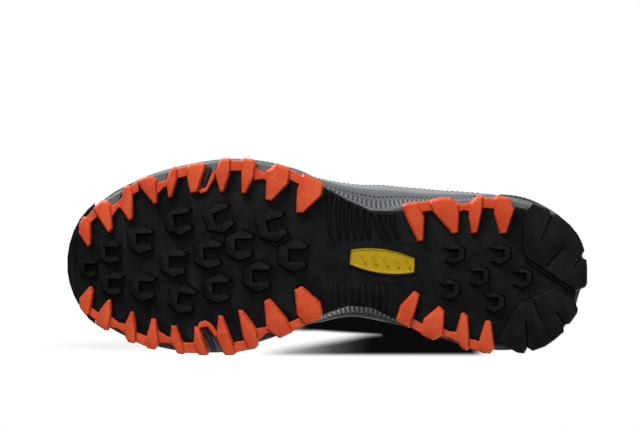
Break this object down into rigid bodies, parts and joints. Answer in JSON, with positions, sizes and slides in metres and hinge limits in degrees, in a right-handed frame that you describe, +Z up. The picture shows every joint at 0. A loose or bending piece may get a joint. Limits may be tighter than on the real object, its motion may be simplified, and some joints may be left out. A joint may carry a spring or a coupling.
{
  "type": "hiking boot",
  "caption": "Mid-height hiking boot with a lugged rubber outsole, coloured side teeth, foam midsole, layered mesh upper, padded collar, tongue, laces and pull tab.",
  "frame": {"origin": "on the ground under the middle of the boot", "axes": "+Z up, toe towards -Y, lateral (outer) side towards +X"},
  "size_m": [0.1134, 0.3, 0.179],
  "materials": {
    "black_rubber": "matt moulded rubber",
    "orange_rubber": "satin moulded rubber",
    "grey_foam": "moulded foam with fine diagonal grooves",
    "yellow_badge": "moulded plastic badge with plain slanted bars",
    "grey_mesh": "woven mesh",
    "charcoal_suede": "nubuck",
    "black_overlay": "abrasion-proof coated overlay",
    "black_lining": "soft knitted lining",
    "stiff_board": "fibre board",
    "nylon": "moulded nylon",
    "gunmetal": "dark coated metal",
    "lace": "round braided lace",
    "accent_webbing": "woven webbing"
  },
  "bodies": {
    "boot": {"outsole": "black_rubber", "lug_band_forefoot_lateral": "orange_rubber", "lug_band_forefoot_medial": "orange_rubber", "lug_band_heel_lateral": "orange_rubber", "lug_band_heel_medial": "orange_rubber", "sole_badge": "yellow_badge", "midsole": "grey_foam", "shank": "nylon", "lasting_board": "stiff_board", "vamp": "grey_mesh", "backstay": "black_overlay", "toe_bumper": "black_overlay", "heel_counter": "black_overlay", "toe_puff": "stiff_board", "heel_stiffener": "stiff_board", "lining": "black_lining", "collar": "black_lining", "quarter_lateral": "grey_mesh", "mudguard_lateral": "black_overlay", "eyestay_lateral": "charcoal_suede", "ankle_strap_lateral": "charcoal_suede", "front_strap_lateral": "charcoal_suede", "rear_strap_lateral": "charcoal_suede", "quarter_medial": "grey_mesh", "mudguard_medial": "black_overlay", "eyestay_medial": "charcoal_suede", "ankle_strap_medial": "charcoal_suede", "front_strap_medial": "charcoal_suede", "rear_strap_medial": "charcoal_suede", "tongue": "charcoal_suede", "lace_ring_lateral_1": "gunmetal", "lace_ring_lateral_2": "gunmetal", "lace_ring_lateral_3": "gunmetal", "lace_ring_lateral_4": "gunmetal", "lace_hook_lateral_1": "gunmetal", "lace_hook_lateral_2": "gunmetal", "lace_ring_medial_1": "gunmetal", "lace_ring_medial_2": "gunmetal", "lace_ring_medial_3": "gunmetal", "lace_ring_medial_4": "gunmetal", "lace_hook_medial_1": "gunmetal", "lace_hook_medial_2": "gunmetal", "lace": "lace", "lace_knot": "lace"},
    "insole": {"insole": "black_lining"},
    "tongue_top": {"tongue_top": "charcoal_suede"},
    "pull_tab": {"pull_tab": "accent_webbing"}
  },
  "joints": [
    {"name": "insole_lift", "type": "hinge", "parent": "boot", "child": "insole", "pos_m": [0, -0.138, 0.034], "axis": [1, 0, 0], "range_deg": [0, 4]},
    {"name": "tongue_flex", "type": "hinge", "parent": "boot", "child": "tongue_top", "pos_m": [-0.0075, 0.0345, 0.1515], "axis": [1, 0, 0], "range_deg": [-15, 10]},
    {"name": "pull_tab_swing", "type": "hinge", "parent": "boot", "child": "pull_tab", "pos_m": [-0.0097, 0.1366, 0.1316], "axis": [-1, 0, 0], "range_deg": [0, 60]}
  ]
}
